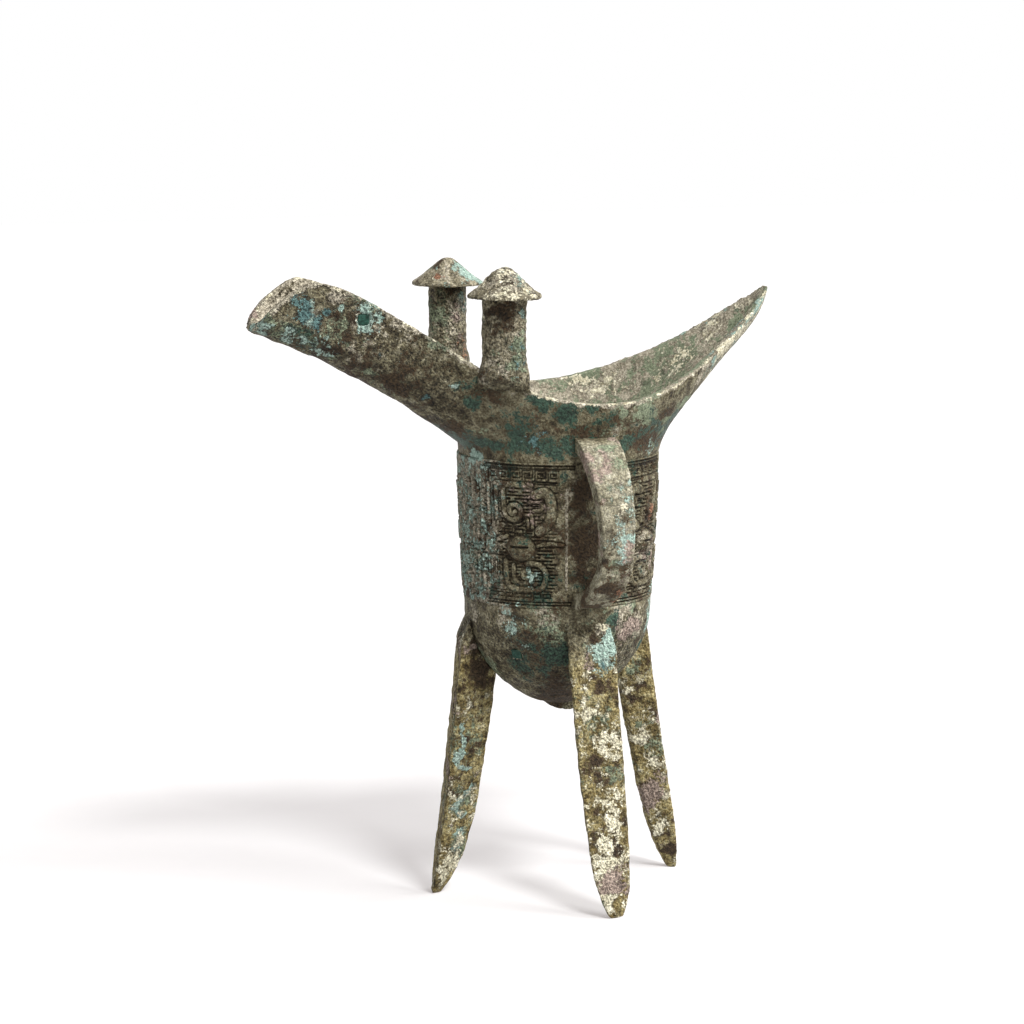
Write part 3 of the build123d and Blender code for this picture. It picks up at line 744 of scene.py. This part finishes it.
vessel_washes = {
    "sand": [
        (-58, -15, 182, 13), (48, -16, 170, 17), (20, -21, 110, 19), (-31, -3, 115, 13), (5, -34, 156, 9),
        (-25, -14, 93, 7), (14, -25, 88, 10), (-62, -12, 176, 8),
    ],
    "green": [
        (36, 14, 162, 18), (30, -20, 150, 12), (10, -33, 154, 12), (-76, -12, 181, 12), (-30, -6, 108, 12),
        (-12, -24, 88, 12),
    ],
    "brown": [
        # The touches at z 151 and 150 on the next line are painted shade under the rim
        (-70, -12, 181, 13), (-50, -13, 166, 14), (-22, -25, 151, 9), (4, -31, 150, 10), (-12, -20, 82, 13),
        (-14, -27, 116, 18), (22, -20, 120, 12), (-14, -27, 100, 12), (-18, -25, 113, 8),
    ],
    "teal": [
        (-24, -23, 150, 11), (0, -32, 149, 12), (20, -26, 149, 12), (-12, -20, 78, 14), (-84, -7, 178, 8),
    ],
    "mint": [(-20, -17, 89, 9), (-80, -7, 174, 8), (54, -13, 173, 9), (-30, -4, 112, 11), (26, -14, 90, 7)],
    "blue": [(-18, -26, 146, 6), (-57, -13, 169, 4)],
    "cream": [(44, 8, 165, 12), (52, -14, 172, 9)],
    "lilac": [(-17, -26, 127, 8), (22, -20, 112, 9)],
}
# The dark underside of the spout
for step in range(5):
    vessel_patches["brown"].append((-90 + 12 * step, 0, 179 - 7.5 * step, 6))
# The far side lay in the same ground, so it has the near side's touches, moved along a little; the painted
# shade under the rim and behind the handle goes with them
for touches in list(vessel_patches.values()) + list(vessel_washes.values()):
    touches += [(x + 5, -y, z + 3, reach) for x, y, z, reach in touches if y < -9]
vessel_scatter = {
    "sand": -0.2, "green": 0.0, "brown": -0.05, "teal": -0.15, "mint": -0.4, "blue": -0.55, "cream": -0.5,
    "rust": -0.8,
}
print("patches on the vessel:", sum(map(len, vessel_patches.values())))

# %% Even mesh of the vessel
points, normals, faces = even_copy("vessel_body", 0.85)
x, z = points[:, 0], points[:, 2]
ring = np.hypot(x, points[:, 1])
# The outside of the wall, and the eyes on it, are drawn in under the band
under_band = (abs(ring - wall_radius(z) - 1.0) < 2.2) & (z > BAND_LOW) & (z < 139.9)
sink = np.where(under_band, smooth(94.0, 95.0, z) * smooth(139.4, 138.5, z), 0)
drawn_in = np.minimum(ring, wall_radius(z) - 0.75)
points[:, :2] *= (1 + sink * (drawn_in / np.maximum(ring, 1) - 1))[:, None]
away = np.einsum("ij,ij->i", points[:, :2], normals[:, :2]) / np.maximum(ring, 1)
inside = smooth(-0.15, 0.15, normals[:, 2] - away)
print("vessel:", len(points), "points,", int(under_band.sum()), "of them under the band")

# %% Colours by place on the vessel
weights = paint(points, vessel_patches, vessel_washes, vessel_scatter, 11)
mottle = lattice_noise(points, 8, 90)
tail_side = smooth(-5, 15, x)
trough = smooth(-34, -44, x)
lay(weights, "sand", inside * (0.95 + 0.25 * mottle - 0.3 * trough))
lay(weights, "green", inside * tail_side * (0.46 - 0.35 * mottle))
lay(weights, "cream", inside * tail_side * (0.24 + 0.3 * mottle))
tail_end = (1 - inside) * smooth(34, 50, x)
lay(weights, "sand", tail_end * (0.95 + 0.3 * mottle))
lay(weights, "cream", tail_end * (0.55 + 0.3 * mottle))
lay(weights, "mint", tail_end * (0.35 - 0.4 * mottle))
neck_skin = (1 - inside) * smooth(137, 145, z) * smooth(156, 145, z + 6 * mottle)
lay(weights, "teal", neck_skin * (0.6 + 0.5 * mottle))
lay(weights, "brown", neck_skin * (0.68 - 0.3 * mottle))
# The rim's sharp outer edges are laid over with pale sand and some cream
pale_rim_edges = edge_standout(points, normals, faces) * smooth(144, 148, z)
lay(weights, "sand", pale_rim_edges)
lay(weights, "cream", 0.5 * pale_rim_edges)
for layer in ("brown", "teal", "blue"):
    weights[layer] *= 1 - 0.8 * np.maximum(inside, tail_end)
print("mean weight of each layer:", {layer: round(float(weights[layer].mean()), 2) for layer in LAYERS})

# %% Finish the vessel
sandy = (1 - inside) * (smooth(-32, -42, x) + smooth(95, 85, z)) + 0.3 * inside * (1 - tail_side)
weights["coarse"] = 0.45 + 0.55 * sandy - 0.15 * inside * tail_side
# The spout's underside is the most blistered, and its outline shows it
underside = (1 - inside) * smooth(-36, -46, x) * smooth(-0.1, -0.6, normals[:, 2])
vessel_recipe = dict(seed=21, blister=(5.0, 0.14 + 0.3 * underside), grain=(1.7, 0.16), pit=(2.6, 0.25))
vessel = make_piece("vessel", soften(points, faces, 1), normals, faces, weights, vessel_recipe, vessel_skin)
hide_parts("vessel_body")

# %% Put on the mask band
band_recipe = dict(seed=21, blister=(5.0, 0.06), grain=(0.9, 0.1), pit=(1.6, 0.15), coarse=0.7)
for name, (points, normals, faces, depth, outer_count) in halves.items():
    seam = seam_ridge(np.arctan2(points[:, 1], points[:, 0]), points[:, 2])
    # The band takes the vessel's touches, and with them the painted shade behind the handle
    weights = paint(points, vessel_patches, vessel_washes, vessel_scatter, 11)
    mottle = lattice_noise(points, 6, 91)
    lay(weights, "brown", 0.32 + 0.35 * mottle)
    lay(weights, "teal", 0.2 - 0.4 * mottle)
    for layer, share in (("green", 0.45), ("sand", 0.72), ("mint", 0.4)):
        lay(weights, layer, share * smooth(-20, -28, points[:, 0]))
    lay(weights, "sand", seam)
    band = make_piece(name, points, normals, faces, weights, band_recipe, vessel_skin, depth, outer_count)

# %% [markdown]
# ## Core spacers
# Small square plates held the clay core while the metal was poured. They stayed in the wall, and one
# shows on the side of the spout as a dark green square in a pale halo. They could be painted squares, but
# they are solids of the part, so they get a surface of their own.

# %% Core spacers
points, normals, faces = even_copy("core_spacers", 0.3)
weights = paint(points, {}, {}, {"teal": 0.3}, 71)
recipe = dict(seed=72, blister=(2.0, 0.05), grain=(0.8, 0.04), pit=(1.4, 0.1), coarse=0.5)
shape = soften(points, faces, 1)
spacers = make_piece("core_spacer_plates", shape, normals, faces, weights, recipe, spacer_skin)
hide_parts("core_spacers")

# %% [markdown]
# ## Handle
# A strap, bent like an ear and hollow towards the cup. It was rubbed, so its ground is a smooth pinkish
# tan; a mint crust has broken away in holes over the bend, and the lower end is dark. Its joint with the
# cup could be modelled as a seam, but corrosion hides such seams, so the handle only takes on the cup's
# colour there.

# %% Handle
handle_patches = {
    "mint": [(4, -48, 113, 4), (5, -48, 119, 4), (5, -45, 132, 2)],
    "brown": [(3, -48, 124, 2), (5, -49, 117, 1), (0, -47, 106, 4), (0, -43, 101, 5), (-4, -38, 98, 5)],
    "rust": [(3, -42, 99, 3), (4, -38, 97, 3)],
    "lilac": [(-5, -47, 113, 3), (-5, -46, 120, 3), (-6, -43, 136, 4), (-6, -38, 142, 4)],
    "green": [(2, -38, 143, 3), (4, -41, 139, 2), (2, -45, 131, 2)],
}
handle_washes = {
    "mint": [(3, -48, 118, 9), (4, -46, 129, 6)],
    "brown": [(2, -48, 122, 9), (1, -47, 109, 9), (0, -36, 121, 9), (0, -40, 134, 5)],
    "green": [(2, -41, 139, 8), (2, -46, 130, 7), (1, -47, 112, 8)],
    "cream": [(1, -47, 124, 6)],
}
points, normals, faces = even_copy("handle", 0.42)
handle_scatter = {"green": -0.15, "mint": -0.45, "brown": -0.3, "lilac": -0.1}
weights = paint(points, handle_patches, handle_washes, handle_scatter, 31)
off, _, _ = above_vessel(points)
weights["joined"] = smooth(4.0, 1.0, off)
recipe = dict(seed=32, blister=(5.0, 0.12), grain=(1.3, 0.08), pit=(2.4, 0.16), coarse=0.6)
handle = make_piece("strap_handle", soften(points, faces, 4), normals, faces, weights, recipe, handle_skin)
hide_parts("handle")

# %% [markdown]
# ## Legs
# Three blades, flat outside and ridged inside. They stood in wet earth, so olive clay and cream lime cling
# to them in clumps, with purple-grey metal near the points. Their roots are laid down on the bowl so that
# no ledge is left, and their points are worn round. The leg under the spout has fine grooves along its
# outer face, and a vein of verdigris that wanders down its side. The grooves could be a bump, but cut into
# the mesh they also show at a low angle.

# %% Patches on the legs
leg_patches = {
    "handle_leg": {
        "mint": [(2, -31, 79, 5), (4, -30, 83, 3)], "blue": [(3, -31, 77, 2)], "sand": [(4, -29, 88, 5)],
        "brown": [(1, -32, 70, 5), (5, -32, 70, 4), (-1, -34, 46, 4), (4, -37, 25, 4)],
        "lilac": [(4, -39, 12, 6), (-4, -31, 77, 3)],
        "cream": [
            (4, -34, 53, 5), (3, -36, 31, 5), (2, -38, 19, 5), (5, -39, 6, 3), (1, -37, 25, 3),
            (2, -39, 11, 4),
        ],
    },
    "spout_leg": {
        "lilac": [(-33, 6, 62, 5), (-32, 5, 78, 5), (-36, 7, 40, 5)], "sand": [(-37, 7, 28, 4)],
        "brown": [(-24, 1, 70, 7), (-27, 2, 78, 5), (-38, 8, 1, 2)], "green": [(-32, 4, 18, 4)],
        "cream": [(-37, 5, 5, 4), (-34, 5, 10, 3)], "rust": [(-34, 3, 21, 1)], "mint": [],
    },
    "tail_leg": {
        "cream": [(33, 7, 44, 4), (39, 9, 15, 3)], "lilac": [(37, 8, 27, 5)], "rust": [(33, 12, 24, 2)],
        "brown": [(42, 10, 5, 4), (31, 8, 60, 5)],
    },
}
for step in range(20):
    wander = 1.4 * math.sin(0.9 * step)
    vein = (-29 - 0.2 * step + wander, 2 + 0.1 * step, 54 - 2 * step, 1.6)
    leg_patches["spout_leg"]["mint"].append(vein)
leg_washes = {
    "handle_leg": {
        "brown": [(1, -32, 66, 9), (3, -35, 44, 11), (4, -37, 25, 7), (4, -40, 2, 5)],
        "cream": [(3, -34, 54, 11), (3, -36, 34, 15), (3, -38, 18, 16), (3, -39, 5, 11)],
        "green": [(0, -33, 58, 8)], "mint": [(2, -31, 80, 8)],
    },
    "spout_leg": {
        "green": [(-30, 3, 50, 12), (-32, 4, 30, 12)], "brown": [(-28, 2, 62, 11), (-33, 5, 40, 9)],
        "cream": [(-35, 5, 14, 9), (-32, 4, 34, 7)],
    },
    "tail_leg": {
        "brown": [(30, 7, 62, 12), (36, 7, 50, 9), (40, 9, 12, 9)], "green": [(38, 6, 40, 8)],
        "cream": [(33, 7, 46, 9), (36, 8, 34, 8), (39, 9, 17, 6)],
    },
}
leg_scatter = {"cream": 0.0, "brown": -0.05, "green": -0.1, "lilac": -0.25, "rust": -0.7, "mint": -0.6}
print("legs to make:", list(leg_patches))

# %% Make the legs
leg_recipe = dict(blister=(4.6, 0.2), grain=(1.4, 0.16), pit=(2.6, 0.3), coarse=0.85)
for number, (node, patches) in enumerate(leg_patches.items()):
    points, normals, faces = even_copy(node, 0.42)
    weights = paint(points, patches, leg_washes[node], leg_scatter, 43 + 9 * number, cloud_size=7)
    z = points[:, 2]
    weights["joined"] = smooth(72, 84, z)
    foot = smooth(9.0, 2.0, z)[:, None]
    shape = (1 - foot) * soften(points, faces, 2) + foot * soften(points, faces, 16)
    shape[:, 2] -= shape[:, 2].min() * foot[:, 0]
    shape = settle(shape, smooth(91.0, 80.0, z))
    if node == "spout_leg":
        facing = smooth(0.6, 0.9, -normals[:, 0])
        across = points[:, 1] - 7.0 - (z - 40) * 0.02
        for line in (-4.6, -2.6, -0.2):
            shape -= normals * (0.45 * facing * smooth(0.6, 0.15, abs(across - line)))[:, None]
    name = node.replace("_leg", "_side_leg")
    leg = make_piece(name, shape, normals, faces, weights, dict(leg_recipe, seed=41 + 7 * number), leg_skin)
    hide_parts(node)

# %% [markdown]
# ## Posts and caps
# Two posts stand on the rim beside the spout. Their skin is coarse like sandpaper, and their feet run out
# into the wall. The near cap is caked with whitish lumps; the far one is smoother, mint on one flank and
# brown at the peak. The grain could be left to the material, but in the mesh it breaks the outline too.

# %% Patches on the posts and caps
post_patches = {
    "post_near": {
        "mint": [(-22, -30, 185, 2)], "green": [(-26, -32, 173, 3)], "sand": [(-21, -30, 175, 3)],
        "brown": [(-31, -29, 185, 4), (-27, -31, 187, 4)],
    },
    "post_far": {"mint": [(-23, 21, 184, 2)], "green": [(-32, 21, 178, 4)], "brown": [(-27, 20, 188, 3)]},
    "post_cap_near": {
        "cream": [(-30, -31, 193, 2), (-22, -31, 192, 2), (-27, -28, 198, 2)],
        "sand": [(-27, -30, 196, 6), (-32, -28, 192, 6), (-22, -29, 193, 5)],
    },
    "post_cap_far": {
        "mint": [(-21, 20, 192, 5), (-24, 21, 195, 3)], "rust": [(-31, 20, 193, 2)],
        "cream": [(-32, 20, 192, 2)], "brown": [(-29, 24, 197, 3)],
    },
}
post_washes = {
    "post_near": {
        "green": [(-25, -31, 172, 10)], "brown": [(-30, -29, 181, 9), (-32, -27, 162, 7)],
        "sand": [(-30, -28, 170, 10), (-21, -30, 174, 8)], "blue": [(-26, -31, 171, 5)],
    },
    "post_far": {
        "green": [(-30, 20, 178, 11)], "lilac": [(-26, 20, 178, 8)], "rust": [(-24, 20, 168, 6)],
        "mint": [(-22, 21, 180, 8)],
    },
    "post_cap_near": {
        "cream": [(-27, -30, 194, 15)], "sand": [(-27, -27, 194, 16)], "mint": [(-23, -28, 195, 6)],
    },
    "post_cap_far": {
        "mint": [(-22, 20, 193, 9)], "brown": [(-35, 21, 192, 5)], "sand": [(-29, 20, 193, 12)],
    },
}
post_scatter = {"sand": 0.0, "green": -0.1, "brown": -0.15, "cream": -0.35, "mint": -0.4}
print("posts and caps to make:", list(post_patches))

# %% Make the posts and caps
sandpaper = dict(seed=51, blister=(4.0, 0.14), grain=(1.15, 0.24), pit=(2.0, 0.2), coarse=1.0)
lumpy = dict(sandpaper, seed=55, blister=(3.0, 0.4), pit=(2.0, 0.45), coarse=0.7)
smoother = dict(sandpaper, seed=58, blister=(5.0, 0.18), grain=(1.4, 0.1), coarse=0.6)
recipes = {"post_near": sandpaper, "post_far": sandpaper, "post_cap_near": lumpy, "post_cap_far": smoother}
for number, (node, patches) in enumerate(post_patches.items()):
    points, normals, faces = even_copy(node, 0.36)
    weights = paint(points, patches, post_washes[node], post_scatter, 81 + 9 * number, cloud_size=9)
    z = points[:, 2]
    weights["joined"] = smooth(170, 162, z)
    shape = settle(soften(points, faces, 2), smooth(159.4, 166.5, z))
    name = node.replace("post", "rim_post")
    piece = make_piece(name, shape, normals, faces, weights, recipes[node], post_skin)
    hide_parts(node)

# %% [markdown]
# ## Floor, light and background
# A white table and white air, as in a studio. Two soft lamps stand high to the right of the camera, so the
# shadows fall to the left and away, and a weak one further round lights the edges. Area lamps would do, but
# a sun lamp with a wide angle is as soft and has the same strength all over the floor. The floor adds a
# little light of its own to what the camera sees, so that it reaches white while the vessel's shadow stays.

# %% Floor
def seen_directly(tree):
    """1 for rays that show the background to the eye: straight, in a gloss or through glass."""
    seen = 0.0
    for ray in ("Is Camera Ray", "Is Glossy Ray", "Is Transmission Ray"):
        path = add(tree, "LightPath", output=ray)
        seen = add(tree, "Math", {0: seen, 1: path}, operation="MAXIMUM")
    return seen


# Matt white paper: it gives the eye an even white with no gloss, and takes soft shadows. Its tooth is
# drawn at 1.5 mm, because that of real paper is finer and wouldn't show
TOOTH_SIZE = 1.5
FLOOR_GLOW, FLOOR_REACH = 0.37, 3
floor_paper = bpy.data.materials.new("white_paper_matt")
floor_paper.use_nodes = True
tree = floor_paper.node_tree
tree.nodes.clear()
tooth = add(tree, "TexNoise", {"Scale": per_mm(TOOTH_SIZE)})
paper = add(tree, "MapRange", {"Value": tooth, "To Min": 0.58, "To Max": 0.6})
matt = add(tree, "BsdfDiffuse", {"Color": paper})
glow_strength = add(tree, "Math", {0: seen_directly(tree), 1: FLOOR_GLOW}, operation="MULTIPLY")
warm = {"Color": linear("#fff6f5"), "Strength": glow_strength}
glow = add(tree, "Emission", warm)
add(tree, "OutputMaterial", {"Surface": add(tree, "AddShader", {0: matt, 1: glow})})
floor_mesh = bpy.data.meshes.new("floor")
corners = [(-1, -1), (1, -1), (1, 1), (-1, 1)]
floor_mesh.from_pydata([(FLOOR_REACH * a, FLOOR_REACH * b, 0) for a, b in corners], [], [(0, 1, 2, 3)])
floor = bpy.data.objects.new("floor", floor_mesh)
floor.data.materials.append(floor_paper)
scene.collection.objects.link(floor)
floor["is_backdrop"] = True
print("floor reaches", FLOOR_REACH, "m each way")

# %% White air
# The air lights the vessel weakly, and the eye sees it white
world = bpy.data.worlds.new("white_air")
scene.world = world
world.use_nodes = True
tree = world.node_tree
tree.nodes.clear()
strength = add(tree, "MapRange", {"Value": seen_directly(tree), "To Min": 0.18, "To Max": 1.0})
air = add(tree, "Background", {"Color": (1, 1, 1, 1), "Strength": strength})
add(tree, "OutputWorld", {"Surface": air})
print("world:", world.name, "with", len(tree.nodes), "nodes")


# %% Lamps
def soft_lamp(name, turn, rise, strength, spread):
    """Distant soft lamp, turned to the right of the camera and raised, in degrees."""
    data = bpy.data.lights.new(name, "SUN")
    data.energy = strength
    data.angle = math.radians(spread)
    lamp = bpy.data.objects.new(name, data)
    towards = direction(azimuth + math.radians(turn), math.radians(rise))
    lamp.rotation_mode = "QUATERNION"
    lamp.rotation_quaternion = towards.to_track_quat("Z", "Y")
    scene.collection.objects.link(lamp)


soft_lamp("key_softbox", 30, 50, 2.65, 14)
soft_lamp("side_softbox", 70, 42, 2.0, 30)
soft_lamp("edge_softbox", 115, 30, 0.7, 25)
scene.view_settings.view_transform = "Standard"

# %% [markdown]
# ## Size
# The box round the dressed model is measured, leaving out the floor. Apart from crusts, the dressing is
# meant to stay inside the solids' box.

# %% Measure the boxes
low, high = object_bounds()
